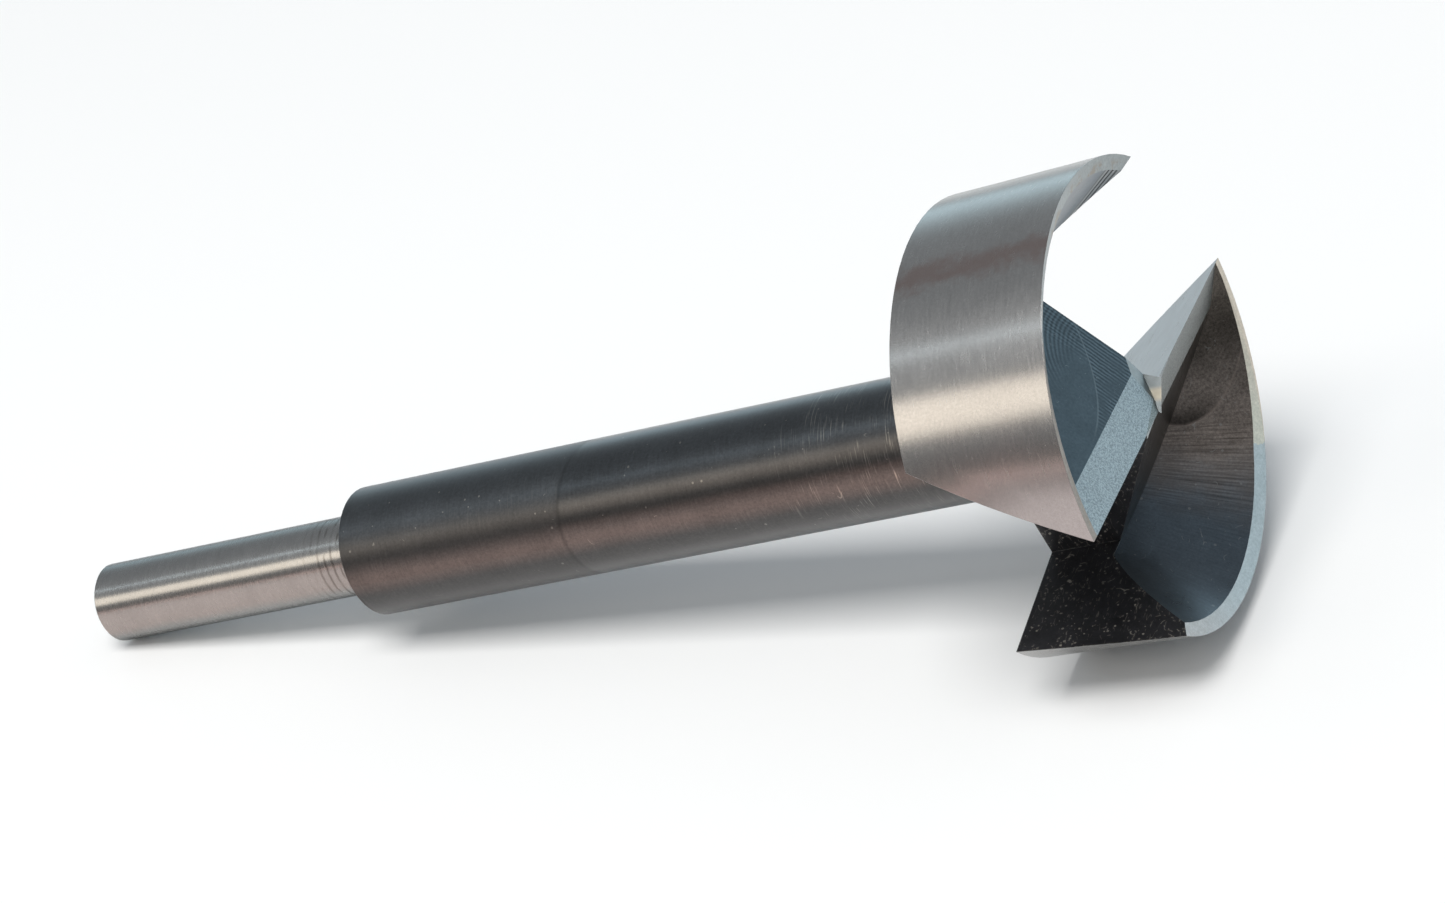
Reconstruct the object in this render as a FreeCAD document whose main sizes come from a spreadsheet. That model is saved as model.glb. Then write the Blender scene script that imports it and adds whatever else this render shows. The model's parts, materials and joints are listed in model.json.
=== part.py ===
import FreeCAD
import Part
import Sketcher
import math
import os

# A two-wing forstner bit, turned and ground from one bar of steel. Millimetres and degrees.
# The bit's own frame has its axis on Z, zero at the shank's end, and wing A's lip along +X.
# A round face is given by its diameter, a ground face by the angle and place of its wheel.
SIZES = (
    ("shankDiameter", 10.0, "round shank for a chuck"),
    ("shankLength", 41.0, "shank, from its end to the step"),
    ("neckDiameter", 16.0, "thick neck between shank and head"),
    ("neckLength", 89.0, "neck, from the step to the back of the head"),
    ("headLength", 19.0, "head, from its flat back to the rims"),
    ("rimDiameter", 54.5, "cutting diameter, at the front of the rims"),
    ("backDiameter", 53.5, "head at its back, smaller so that the rims clear the hole"),
    ("edgeChamfer", 0.3, "broken edges at the shank's end and the step"),
    ("rootRadius", 1.0, "radius between neck and head"),
    ("lipOffset", 1.2, "each lip runs this far ahead of the centre line"),
    ("rakeAngle", 30.8, "lean of the rake face, from the axis"),
    ("reliefAngle", 23.6, "fall of the land behind the lip"),
    ("landWidth", 4.45, "land, across, from the lip to the bowl"),
    ("slopeAngle", 34.9, "fall of the bowl's flat side behind the land"),
    ("wallDiameter", 52.24, "bowl's round wall, at the front of the rims"),
    ("wallAngle", 36.6, "lean of the bowl's round wall, from the axis"),
    ("bevelAngle", 23.5, "slope of the ground bevel inside each rim"),
    ("bevelShift", 1.57, "the bevel's wheel starts off centre, so the bevel grows from the tip"),
    ("bevelShiftAngle", 223.6, "direction of that shift"),
    ("webHalf", 1.8, "half the web between the throats, at the front"),
    ("floorAngle", 10.3, "direction that the throat's floor faces"),
    ("floorTilt", 13.2, "lean of the throat's floor, out towards the back"),
    ("throatWidth", 18.8, "throat's far wall, from the centre line, at the front"),
    ("throatTurn", 7.0, "direction of the throat's far wall, from the lip"),
    ("throatTilt", 11.0, "lean of the throat's far wall, from the axis"),
    ("chiselRise", 0.35, "chisel edge, above the rims"),
    ("chiselAngle", 10.0, "lean of each side of the chisel edge, from the axis"),
    ("gashDepth", 1.0, "gash beside the chisel edge, at the axis"),
    ("gashPitch", 21.3, "rise of the gash along the chisel edge"),
    ("gashRoll", 11.8, "fall of the gash away from the chisel edge"),
    ("lyingAngle", 91.3, "side that the bit lies on, from wing A's lip: the back of wing B"),
)
WORKED_OUT = (
    ("shankRadius", "shankDiameter / 2"),
    ("shankEndRadius", "shankRadius - edgeChamfer"),
    ("neckRadius", "neckDiameter / 2"),
    ("stepRadius", "neckRadius - edgeChamfer"),
    ("rootOuterRadius", "neckRadius + rootRadius"),
    ("backRadius", "backDiameter / 2"),
    ("rimRadius", "rimDiameter / 2"),
    ("stepHeight", "shankLength"),
    ("stepTopHeight", "stepHeight + edgeChamfer"),
    ("backHeight", "stepHeight + neckLength"),
    ("rootHeight", "backHeight - rootRadius"),
    ("rimHeight", "backHeight + headLength"),
    ("chiselHeight", "rimHeight + chiselRise"),
    ("lipStart", "(webHalf - lipOffset * sin(floorAngle)) / cos(floorAngle)"),
    ("chiselTurn", "atan2(lipOffset; lipStart) / 1 deg"),
    ("wheelReach", "2 * (rimDiameter + headLength)"),
    ("wheelRise", "headLength / 4"),
    ("wallSpread", "tan(wallAngle)"),
    ("bevelSpread", "1 / tan(bevelAngle)"),
)
# Corners of the turned blank, from the axis and from the shank's end. Empty means on that line.
PROFILE = (
    ("", ""),
    ("shankEndRadius", ""),
    ("shankRadius", "edgeChamfer"),
    ("shankRadius", "stepHeight"),
    ("stepRadius", "stepHeight"),
    ("neckRadius", "stepTopHeight"),
    ("neckRadius", "rootHeight"),
    ("rootOuterRadius", "backHeight"),
    ("backRadius", "backHeight"),
    ("rimRadius", "rimHeight"),
    ("neckRadius", "rimHeight"),
    ("neckRadius", "chiselHeight"),
    ("", "chiselHeight"),
)
WINGS = (("a", 0), ("b", 180))
NODE = "forstner_bit"


def makeSheet(doc):
    sheet = doc.addObject("Spreadsheet::Sheet", "sizes")
    row = 0
    for alias, value, note in SIZES:
        row += 1
        sheet.set(f"A{row}", str(value))
        sheet.setAlias(f"A{row}", alias)
        sheet.set(f"B{row}", note)
    for alias, formula in WORKED_OUT:
        row += 1
        sheet.set(f"A{row}", f"={formula}")
        sheet.setAlias(f"A{row}", alias)
    doc.recompute()
    return sheet


def originPlane(body, role):
    for feature in body.Origin.OriginFeatures:
        if feature.Role == role:
            return feature
    raise ValueError(f"no plane {role}")


def pinPoint(sketch, line, end, across, along):
    # Ties one end of a line to the axis and to the shank's end, by the sizes that place it.
    place = sketch.getPoint(line, end)
    for alias, axis, kind, value in ((across, -2, "DistanceX", place.x), (along, -1, "DistanceY", place.y)):
        if alias:
            index = sketch.addConstraint(Sketcher.Constraint(kind, -1, 1, line, end, value))
            sketch.setExpression(f"Constraints[{index}]", f"sizes.{alias}")
        else:
            sketch.addConstraint(Sketcher.Constraint("PointOnObject", line, end, axis))


def makeBlank(doc, sheet):
    # The turned blank: shank, neck and head with its back taper, and a small boss at the centre.
    body = doc.addObject("PartDesign::Body", "blank")
    sketch = body.newObject("Sketcher::SketchObject", "blank_profile")
    sketch.AttachmentSupport = [(originPlane(body, "XZ_Plane"), "")]
    sketch.MapMode = "FlatFace"
    places = []
    for across, along in PROFILE:
        x = getattr(sheet, across) if across else 0
        y = getattr(sheet, along) if along else 0
        places.append(FreeCAD.Vector(x, y, 0))
    root = PROFILE.index(("neckRadius", "rootHeight"))
    for index, place in enumerate(places):
        following = places[(index + 1) % len(places)]
        if index == root:
            centre = FreeCAD.Vector(following.x, place.y, 0)
            circle = Part.Circle(centre, FreeCAD.Vector(0, 0, 1), sheet.rootRadius)
            sketch.addGeometry(Part.ArcOfCircle(circle, math.pi / 2, math.pi))
        else:
            sketch.addGeometry(Part.LineSegment(place, following))
    for index, (across, along) in enumerate(PROFILE):
        # The root's arc runs the other way round, so its start is where the head begins.
        start, end = (2, 1) if index == root else (1, 2)
        following = (index + 1) % len(PROFILE)
        meeting = 2 if following == root else 1
        sketch.addConstraint(Sketcher.Constraint("Coincident", index, end, following, meeting))
        pinPoint(sketch, index, start, across, along)
    radius = sketch.addConstraint(Sketcher.Constraint("Radius", root, sheet.rootRadius))
    sketch.setExpression(f"Constraints[{radius}]", "sizes.rootRadius")
    turning = body.newObject("PartDesign::Revolution", "turning")
    turning.Profile = sketch
    turning.ReferenceAxis = (sketch, ["V_Axis"])
    turning.Angle = 360
    body.Tip = turning
    return body


def turned(wing, place):
    return f"placement(vector(0; 0; 0); rotation({wing}; 0; 0)) * {place}"


def flatWheel(doc, name, wing, point, rotation):
    # A block whose lower face is the ground face; it takes away what lies on its other side.
    block = doc.addObject("Part::Box", name)
    for side in ("Length", "Width", "Height"):
        block.setExpression(side, "sizes.wheelReach")
    seat = f"placement(vector({point}); rotation({rotation}))"
    middle = "placement(vector(-sizes.wheelReach / 2; -sizes.wheelReach / 2; 0); rotation(0; 0; 0))"
    block.setExpression("Placement", turned(wing, f"{seat} * {middle}"))
    return block


def coneWheel(doc, name, wing, radius, spread, depth, shift):
    # A cone that opens towards the front and has the given radius at the height of the rims.
    cone = doc.addObject("Part::Cone", name)
    cone.setExpression("Radius1", f"{radius} - {depth} * {spread}")
    cone.setExpression("Radius2", f"{radius} + sizes.wheelRise * {spread}")
    cone.setExpression("Height", f"{depth} + sizes.wheelRise")
    seat = f"placement(vector({shift}; sizes.rimHeight - {depth}); rotation(0; 0; 0))"
    cone.setExpression("Placement", turned(wing, seat))
    return cone


def bevelWheel(doc, name, wing, shift):
    return coneWheel(doc, name, wing, "sizes.rimRadius", "sizes.bevelSpread", "sizes.wheelRise", shift)


def common(doc, name, shapes):
    overlap = doc.addObject("Part::MultiCommon", name)
    overlap.Shapes = shapes
    return overlap


def throatCut(doc, letter, wing):
    # The open throat ahead of a lip: rake face, floor beside the web, and the next wing's end.
    rake = flatWheel(doc, f"rake_{letter}", wing, "0; sizes.lipOffset; sizes.rimHeight",
                     "0; 0; -(90 + sizes.rakeAngle)")
    floor = flatWheel(doc, f"throat_floor_{letter}", wing,
                      "sizes.webHalf * cos(sizes.floorAngle); sizes.webHalf * sin(sizes.floorAngle);"
                      " sizes.rimHeight",
                      "sizes.floorAngle; 90 - sizes.floorTilt; 0")
    end = flatWheel(doc, f"wing_end_{letter}", wing, "0; sizes.throatWidth; sizes.rimHeight",
                    "sizes.throatTurn - 90; 90 - sizes.throatTilt; 0")
    return common(doc, f"throat_{letter}", [rake, floor, end])


def frontCuts(doc, letter, wing, bowlWall, bevelRing):
    # The ground faces of one wing's front, all on its own side of the chisel edge.
    side = flatWheel(doc, f"chisel_side_{letter}", wing, "0; 0; sizes.chiselHeight",
                     "sizes.chiselTurn - 90; 90 - sizes.chiselAngle; 0")
    slope = flatWheel(doc, f"slope_{letter}", wing,
                      "0; sizes.lipOffset - sizes.landWidth;"
                      " sizes.rimHeight - sizes.landWidth * tan(sizes.reliefAngle)",
                      "0; 0; sizes.slopeAngle")
    relief = flatWheel(doc, f"relief_{letter}", wing, "0; sizes.lipOffset; sizes.rimHeight",
                       "0; 0; sizes.reliefAngle")
    gash = flatWheel(doc, f"gash_floor_{letter}", wing, "0; 0; sizes.chiselHeight - sizes.gashDepth",
                     "sizes.chiselTurn; -sizes.gashPitch; sizes.gashRoll")
    growing = bevelWheel(doc, f"bevel_start_{letter}", wing,
                         "sizes.bevelShift * cos(sizes.bevelShiftAngle);"
                         " sizes.bevelShift * sin(sizes.bevelShiftAngle)")
    bevel = doc.addObject("Part::Cut", f"bevel_{letter}")
    bevel.Base = common(doc, f"bevel_band_{letter}", [bevelRing, growing, side])
    bevel.Tool = bowlWall
    return [
        common(doc, f"bowl_{letter}", [bowlWall, slope, side]),
        common(doc, f"land_{letter}", [bowlWall, relief, side]),
        common(doc, f"gash_{letter}", [bowlWall, gash, side]),
        bevel,
    ]


def restingPlace(sheet):
    # The bit lies on its side: on the edge of the shank's end and on one edge of wing B, at the
    # back or the front of the head, whichever touches first. Its axis rises towards the head.
    down = math.radians(sheet.lyingAngle)
    backRise = (sheet.backRadius - sheet.shankRadius) / (sheet.backHeight - sheet.edgeChamfer)
    rimRise = (sheet.rimRadius - sheet.shankRadius) / (sheet.rimHeight - sheet.edgeChamfer)
    rise = max(backRise, rimRise)
    up = FreeCAD.Vector(-math.cos(down), -math.sin(down), rise).normalize()
    forward = FreeCAD.Vector(0, 0, 1) - up * up.z
    forward.normalize()
    side = up.cross(forward)
    matrix = FreeCAD.Matrix(
        forward.x, forward.y, forward.z, 0,
        side.x, side.y, side.z, 0,
        up.x, up.y, up.z, 0,
        0, 0, 0, 1)
    return FreeCAD.Placement(matrix)


def layDown(bit, sheet):
    # Turns the finished bit onto its side, then centres it over the origin.
    bit.Placement = restingPlace(sheet)
    box = bit.Shape.optimalBoundingBox()
    shift = FreeCAD.Vector(-box.Center.x, -box.Center.y, -box.ZMin)
    bit.Placement = FreeCAD.Placement(shift, FreeCAD.Rotation()) * bit.Placement


def makeBit(doc, sheet):
    blank = makeBlank(doc, sheet)
    bowlWall = coneWheel(doc, "bowl_wall", 0, "sizes.wallDiameter / 2", "sizes.wallSpread",
                         "sizes.headLength", "0; 0")
    bevelRing = bevelWheel(doc, "bevel_ring", 0, "0; 0")
    cuts = []
    for letter, wing in WINGS:
        cuts.append(throatCut(doc, letter, wing))
        cuts.extend(frontCuts(doc, letter, wing, bowlWall, bevelRing))
    tools = doc.addObject("Part::MultiFuse", "ground_away")
    tools.Shapes = cuts
    bit = doc.addObject("Part::Cut", NODE)
    bit.Base = blank
    bit.Tool = tools
    bit.Refine = True
    bit.Label = NODE
    doc.recompute()
    layDown(bit, sheet)
    doc.recompute()
    return bit


def checkDocument(doc, nodes):
    for item in doc.Objects:
        if "Invalid" in item.State or "Error" in item.State:
            raise RuntimeError(f"{item.Name} failed: {item.State}")
    for node in nodes:
        if node.Shape.isNull() or not node.Shape.isValid():
            raise RuntimeError(f"{node.Label} has no sound shape")
        if len(node.Shape.Solids) != 1:
            raise RuntimeError(f"{node.Label} is {len(node.Shape.Solids)} solids")


def main():
    doc = FreeCAD.newDocument("forstner")
    sheet = makeSheet(doc)
    bit = makeBit(doc, sheet)
    checkDocument(doc, [bit])
    os.makedirs("parts", exist_ok=True)
    bit.Shape.exportStep(f"parts/{bit.Label}.step")
    box = bit.Shape.BoundBox
    print(f"{bit.Label}: {box.XLength:.2f} x {box.YLength:.2f} x {box.ZLength:.2f} mm,"
          f" {bit.Shape.Volume:.0f} cubic mm, {len(bit.Shape.Faces)} faces")


main()
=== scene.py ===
import json
import math

import bpy
from mathutils import Matrix, Quaternion, Vector

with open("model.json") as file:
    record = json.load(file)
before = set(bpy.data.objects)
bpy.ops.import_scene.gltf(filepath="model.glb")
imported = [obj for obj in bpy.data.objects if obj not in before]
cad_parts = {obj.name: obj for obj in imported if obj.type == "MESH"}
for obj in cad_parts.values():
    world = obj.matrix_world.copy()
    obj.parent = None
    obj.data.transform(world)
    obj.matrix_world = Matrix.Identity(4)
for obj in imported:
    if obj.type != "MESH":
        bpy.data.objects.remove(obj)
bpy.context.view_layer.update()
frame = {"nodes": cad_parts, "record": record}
bit = frame["nodes"]["forstner_bit"]
scene = bpy.context.scene
print("frame loaded")

# the bit's own frame, in mm: z runs up the axis from the shank's end, x along the near wing's lip
pose = {
    "shankMiddle": 20.65,         # mm from the shank's end to the middle of its mount
    "lipSide": (0.0, -1.0, 0.0),  # the way that the near lip points before its roll
    "rollOfLip": 1.3,             # degrees that it stands above level
    "perMillimetre": 0.001,
}


def bitFrame():
    mount = frame["record"]["mounts"][0]
    axis = -Vector(mount["axis"]).normalized()
    side = Vector(pose["lipSide"])
    over = axis.cross(side)
    if over.z < 0:
        over.negate()
    roll = math.radians(pose["rollOfLip"])
    lip = side * math.cos(roll) + over * math.sin(roll)
    across = axis.cross(lip)
    start = Vector(mount["pos_m"]) - axis * pose["shankMiddle"] * pose["perMillimetre"]
    turn = Matrix((lip, across, axis)).transposed().to_4x4()
    return Matrix.Translation(start) @ turn


bitMatrix = bitFrame()
bitAxis = bitMatrix.to_3x3() @ Vector((0.0, 0.0, 1.0))
print("bit frame found")

# node helpers: each takes and gives sockets, and a plain number stands for itself
mixSockets = {"amount": 0, "first": 6, "second": 7, "result": 2}  # the Mix node's colour sockets
white = (1.0, 1.0, 1.0)


def addNode(tree, kind, **settings):
    node = tree.nodes.new(kind)
    for name, value in settings.items():
        setattr(node, name, value)
    return node


def feed(tree, socket, value):
    if isinstance(value, bpy.types.NodeSocket):
        tree.links.new(value, socket)
    elif isinstance(value, (tuple, list)) and socket.type == "RGBA" and len(value) == 3:
        socket.default_value = (*value, 1.0)
    else:
        socket.default_value = value


def calc(tree, operation, first, second=None, third=None):
    node = addNode(tree, "ShaderNodeMath", operation=operation)
    for at, value in enumerate((first, second, third)):
        if value is not None:
            feed(tree, node.inputs[at], value)
    return node.outputs[0]


def product(tree, first, *others):
    for other in others:
        first = calc(tree, "MULTIPLY", first, other)
    return first


def flip(tree, value):
    # 0..1 to 1..0
    return calc(tree, "SUBTRACT", 1.0, value)


def offFrom(tree, value, middle):
    # how far a value is from the middle, either way
    return calc(tree, "ABSOLUTE", calc(tree, "SUBTRACT", value, middle))


def aboutHalf(tree, value, by, middle=0.5):
    # 0..1 with its swing about one half made larger or smaller
    return calc(tree, "MULTIPLY_ADD", calc(tree, "SUBTRACT", value, 0.5), by, middle)


def rampUp(tree, value, low, high):
    # 0 below low, 1 above high, smooth between; low may be above high
    node = addNode(tree, "ShaderNodeMapRange", interpolation_type="SMOOTHSTEP")
    feed(tree, node.inputs["Value"], value)
    node.inputs["From Min"].default_value = low
    node.inputs["From Max"].default_value = high
    return node.outputs["Result"]


def spread(tree, value, low, high):
    # 0..1 to low..high
    node = addNode(tree, "ShaderNodeMapRange")
    feed(tree, node.inputs["Value"], value)
    node.inputs["To Min"].default_value = low
    node.inputs["To Max"].default_value = high
    return node.outputs["Result"]


def mixColour(tree, amount, first, second, blend="MIX"):
    node = addNode(tree, "ShaderNodeMix", data_type="RGBA", blend_type=blend)
    feed(tree, node.inputs[mixSockets["amount"]], amount)
    feed(tree, node.inputs[mixSockets["first"]], first)
    feed(tree, node.inputs[mixSockets["second"]], second)
    return node.outputs[mixSockets["result"]]


def noise(tree, vector, scale, detail=2.0, roughness=0.5, stretch=None):
    if stretch:
        node = addNode(tree, "ShaderNodeVectorMath", operation="MULTIPLY")
        feed(tree, node.inputs[0], vector)
        node.inputs[1].default_value = stretch
        vector = node.outputs[0]
    node = addNode(tree, "ShaderNodeTexNoise")
    feed(tree, node.inputs["Vector"], vector)
    node.inputs["Scale"].default_value = scale
    node.inputs["Detail"].default_value = detail
    node.inputs["Roughness"].default_value = roughness
    return node.outputs["Fac"]


def dotWith(tree, vector, direction):
    node = addNode(tree, "ShaderNodeVectorMath", operation="DOT_PRODUCT")
    feed(tree, node.inputs[0], vector)
    feed(tree, node.inputs[1], direction)
    return node.outputs["Value"]


def combine(tree, x, y, z):
    node = addNode(tree, "ShaderNodeCombineXYZ")
    for at, value in enumerate((x, y, z)):
        feed(tree, node.inputs[at], value)
    return node.outputs[0]


def bitPlace(tree):
    # where a point is in the bit's frame: place in mm, radius, turn in degrees, height in mm
    coords = addNode(tree, "ShaderNodeTexCoord")
    mapping = addNode(tree, "ShaderNodeMapping", vector_type="TEXTURE")
    mapping.inputs["Location"].default_value = bitMatrix.to_translation()
    mapping.inputs["Rotation"].default_value = bitMatrix.to_euler("XYZ")
    mapping.inputs["Scale"].default_value = (pose["perMillimetre"],) * 3
    tree.links.new(coords.outputs["Object"], mapping.inputs["Vector"])
    place = mapping.outputs["Vector"]
    split = addNode(tree, "ShaderNodeSeparateXYZ")
    tree.links.new(place, split.inputs[0])
    x, y, height = split.outputs
    radius = calc(tree, "SQRT", calc(tree, "ADD", product(tree, x, x), product(tree, y, y)))
    turn = calc(tree, "DEGREES", calc(tree, "ARCTAN2", y, x))
    return {"place": place, "x": x, "y": y, "height": height, "radius": radius, "turn": turn}


def startMaterial(name):
    material = bpy.data.materials.new(name)
    material.use_nodes = True
    tree = material.node_tree
    shader = tree.nodes["Principled BSDF"]
    return material, tree, shader


# floor: pale where the bit lies and fading to grey far off, a painted pool of light
floorSet = {
    "size": 12.0,                  # m
    "colour": (0.93, 0.932, 0.935),
    # painted light: the grey far off and the pale part round the bit stand for light falling off
    "far": (0.37, 0.355, 0.35),
    "middle": (-0.03, 0.13, 0.0),  # the middle of the pale part
    "paintedPoolTo": 0.235,               # m from there
    "paintedFadeFrom": 0.5,
    "roughness": 0.7,
    "specular": 0.2,
}


def makeFloor():
    mesh = bpy.data.meshes.new("floor")
    half = floorSet["size"] / 2
    mesh.from_pydata(
        [(-half, -half, 0), (half, -half, 0), (half, half, 0), (-half, half, 0)],
        [], [(0, 1, 2, 3)])
    floor = bpy.data.objects.new("floor", mesh)
    scene.collection.objects.link(floor)
    material, tree, shader = startMaterial("pale_floor")
    coords = addNode(tree, "ShaderNodeTexCoord")
    away = addNode(tree, "ShaderNodeVectorMath", operation="DISTANCE")
    tree.links.new(coords.outputs["Object"], away.inputs[0])
    away.inputs[1].default_value = floorSet["middle"]
    # painted pool of light: the colour turns grey away from its middle
    far = rampUp(tree, away.outputs["Value"], floorSet["paintedPoolTo"], floorSet["paintedFadeFrom"])
    feed(tree, shader.inputs["Base Color"], mixColour(tree, far, floorSet["colour"], floorSet["far"]))
    shader.inputs["Roughness"].default_value = floorSet["roughness"]
    shader.inputs["Specular IOR Level"].default_value = floorSet["specular"]
    mesh.materials.append(material)


makeFloor()
print("floor made")

# light: a dim room, a pale sweep behind the bit, a key box and three strips
roomSet = {
    "sky": (0.365, 0.385, 0.405),
    "sweep": (1.10, 1.42, 1.56),
    "sweepTurn": 75,             # degrees, the middle of the pale sweep
    "sweepEdge": (0.46, 0.0),    # sine of the rise where it begins and where it is full
    "sweepSide": (-0.25, 0.45),  # cosine of the turn away from its middle, likewise
    "dark": (0.20, 0.19, 0.18),
    "darkEdge": (0.34, 0.08),
    "darkSide": (0.0, -0.6),
}
lampSet = {
    # turn, rise and roll in degrees; distance, width and height in metres
    "key_box": {"turn": -85, "rise": 68, "roll": 0, "distance": 1.8, "width": 1.0,
                "height": 0.8, "watts": 25, "colour": (1.0, 0.985, 0.96)},
    "cream_strip": {"turn": -135.3, "rise": 27.3, "roll": 35, "distance": 3.0, "width": 1.5,
                    "height": 0.84, "watts": 9.8, "colour": (1.0, 0.89, 0.75)},
    "pale_strip": {"turn": -160.5, "rise": 44.5, "roll": 68, "distance": 3.0, "width": 1.2,
                   "height": 0.12, "watts": 1.1, "colour": (0.80, 0.93, 1.0)},
    "rose_strip": {"turn": -122, "rise": 1.2, "roll": 0, "distance": 3.0, "width": 1.5,
                   "height": 0.12, "watts": 1.1, "colour": (1.0, 0.76, 0.70)},
}


def direction(turn, rise):
    turn = math.radians(turn)
    rise = math.radians(rise)
    return Vector((math.cos(turn) * math.cos(rise), math.sin(turn) * math.cos(rise), math.sin(rise)))


def makeRoom():
    world = bpy.data.worlds.new("room")
    scene.world = world
    world.use_nodes = True
    tree = world.node_tree
    coords = addNode(tree, "ShaderNodeTexCoord")
    ray = coords.outputs["Generated"]
    split = addNode(tree, "ShaderNodeSeparateXYZ")
    tree.links.new(ray, split.inputs[0])
    rise = split.outputs["Z"]
    facing = dotWith(tree, ray, direction(roomSet["sweepTurn"], 0))
    sweep = product(tree, rampUp(tree, rise, *roomSet["sweepEdge"]),
                    rampUp(tree, facing, *roomSet["sweepSide"]))
    dark = product(tree, rampUp(tree, rise, *roomSet["darkEdge"]),
                   rampUp(tree, facing, *roomSet["darkSide"]))
    colour = mixColour(tree, sweep, roomSet["sky"], roomSet["sweep"])
    colour = mixColour(tree, dark, colour, roomSet["dark"])
    tree.links.new(colour, tree.nodes["Background"].inputs["Color"])


def makeLamps():
    for name, lampAt in lampSet.items():
        data = bpy.data.lights.new(name, "AREA")
        data.shape = "RECTANGLE"
        data.size = lampAt["width"]
        data.size_y = lampAt["height"]
        data.energy = lampAt["watts"]
        data.color = lampAt["colour"]
        lamp = bpy.data.objects.new(name, data)
        lamp.location = lampAt["distance"] * direction(lampAt["turn"], lampAt["rise"])
        facing = (-lamp.location).to_track_quat("-Z", "Y")
        roll = Quaternion((0, 0, 1), math.radians(lampAt["roll"]))
        lamp.rotation_euler = (facing @ roll).to_euler()
        scene.collection.objects.link(lamp)


makeRoom()
makeLamps()
print("room and lamps made")

# marks that a finish is built from; lengths are in mm, and each gives a value from 0 to 1
markSet = {
    "brush": {"scale": 1.0, "detail": 3.0, "roughness": 0.65},
    "scratchDetail": 1.0,
    "breakScale": 2.3,   # how much finer a scratch's breaks are than its curve
    "breakFade": 0.04,
}


def lines(tree, along, pitch, wobble, wobbleBy):
    phase = calc(tree, "MULTIPLY", along, 2 * math.pi / pitch)
    phase = calc(tree, "MULTIPLY_ADD", wobble, wobbleBy, phase)
    return calc(tree, "MULTIPLY_ADD", calc(tree, "SINE", phase), 0.5, 0.5)


def specks(tree, at, perMillimetre, size, share):
    # small round marks in random places: size is a part of their spacing, share the part kept
    node = addNode(tree, "ShaderNodeTexVoronoi")
    feed(tree, node.inputs["Vector"], at["place"])
    node.inputs["Scale"].default_value = perMillimetre
    split = addNode(tree, "ShaderNodeSeparateColor")
    tree.links.new(node.outputs["Color"], split.inputs[0])
    reach = calc(tree, "MULTIPLY", split.outputs["Green"], size)
    dot = calc(tree, "LESS_THAN", node.outputs["Distance"], reach)
    return product(tree, dot, calc(tree, "LESS_THAN", split.outputs["Red"], share))


def scratches(tree, at, scale, width, share, stretch=white):
    # thin broken curves: where a stretched noise crosses its middle
    curve = noise(tree, at["place"], scale, markSet["scratchDetail"], stretch=stretch)
    line = rampUp(tree, offFrom(tree, curve, 0.5), width, 0.0)
    gaps = noise(tree, at["place"], scale * markSet["breakScale"], markSet["scratchDetail"])
    return product(tree, line, rampUp(tree, gaps, 1 - share, 1 - share + markSet["breakFade"]))


def brushed(tree, at, fine, coarse):
    # lines round the bit: noise that changes fast along the axis and slowly round it
    return noise(tree, at["place"], stretch=(coarse, coarse, fine), **markSet["brush"])


# ways to put marks on a colour
def shaded(tree, colour, value, depth):
    # made darker and lighter by depth, as value goes from 0 to 1
    shade = spread(tree, value, 1 - depth, 1 + depth)
    return mixColour(tree, 1.0, colour, combine(tree, shade, shade, shade), "MULTIPLY")


def shadedBy(tree, colour, values, depths):
    for value, depth in zip(values, depths):
        colour = shaded(tree, colour, value, depth)
    return colour


def darkened(tree, colour, marks, depth):
    # made darker by up to depth where the marks are, and left alone elsewhere
    return shaded(tree, colour, calc(tree, "MULTIPLY_ADD", marks, -0.5, 0.5), depth)


def painted(tree, colour, marks, amount, other):
    # turned to the other colour where the marks are, by up to amount
    return mixColour(tree, product(tree, marks, amount), colour, other)


# the two wings, half a turn apart
wingSet = {
    "lead": 10.0,         # degrees before a lip where its wing begins
    "apart": 180.0,
    "farSlant": -0.176,   # y over x on the line between the wings, with its sign turned
}


def wingTurn(tree, at):
    # degrees back from a lip, the same on both wings
    back = calc(tree, "SUBTRACT", wingSet["lead"], at["turn"])
    return calc(tree, "SUBTRACT", calc(tree, "FLOORED_MODULO", back, wingSet["apart"]), wingSet["lead"])


def farWing(tree, at):
    # 1 on the wing whose face the photo sees, 0 on the wing above it
    past = calc(tree, "MULTIPLY_ADD", at["x"], wingSet["farSlant"], at["y"])
    return calc(tree, "GREATER_THAN", past, 0.0)


def wingPlace(tree, at):
    # x and y in the near wing's frame, also for the far wing's points
    side = calc(tree, "MULTIPLY", calc(tree, "SIGN", at["y"]), -1.0)
    return product(tree, at["x"], side), product(tree, at["y"], side)


# a rose band along one side of the turned faces: a painted highlight, fixed to the bit
roseHighlightSet = {
    "cloud": {"scale": 0.1, "detail": 2.0},
    "band": {"turn": 2.0, "half": 22.0, "fade": 12.0, "wobble": 16.0},  # degrees
}


# lightens a band along one side of the bit: a painted rose highlight
def paintedRoseHighlight(tree, at, colour, highlightTint, band=roseHighlightSet["band"]):
    off = calc(tree, "SUBTRACT", offFrom(tree, at["turn"], band["turn"]), band["wobble"] / 2)
    off = calc(tree, "MULTIPLY_ADD", noise(tree, at["place"], **roseHighlightSet["cloud"]), band["wobble"], off)
    amount = rampUp(tree, off, band["half"] + band["fade"], band["half"] - band["fade"])
    return mixColour(tree, 1.0, colour, mixColour(tree, amount, white, highlightTint), "MULTIPLY")


# edges: rounded in shading, and lighter where a finish asks for it, partly wear and partly a painted
# glint
edgeSet = {
    "round": 0.00006,           # m
    "wearAndGlint": 0.00022,
    "samples": 4,
    "bend": (0.97, 0.75),
    "cloud": {"scale": 2.2},
    "broken": (0.35, 0.7),
    "reliefHeight": 0.00002,    # m that a full mark stands up
}


def softEdges(tree):
    node = addNode(tree, "ShaderNodeBevel", samples=edgeSet["samples"])
    node.inputs["Radius"].default_value = edgeSet["round"]
    return node.outputs["Normal"]


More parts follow.
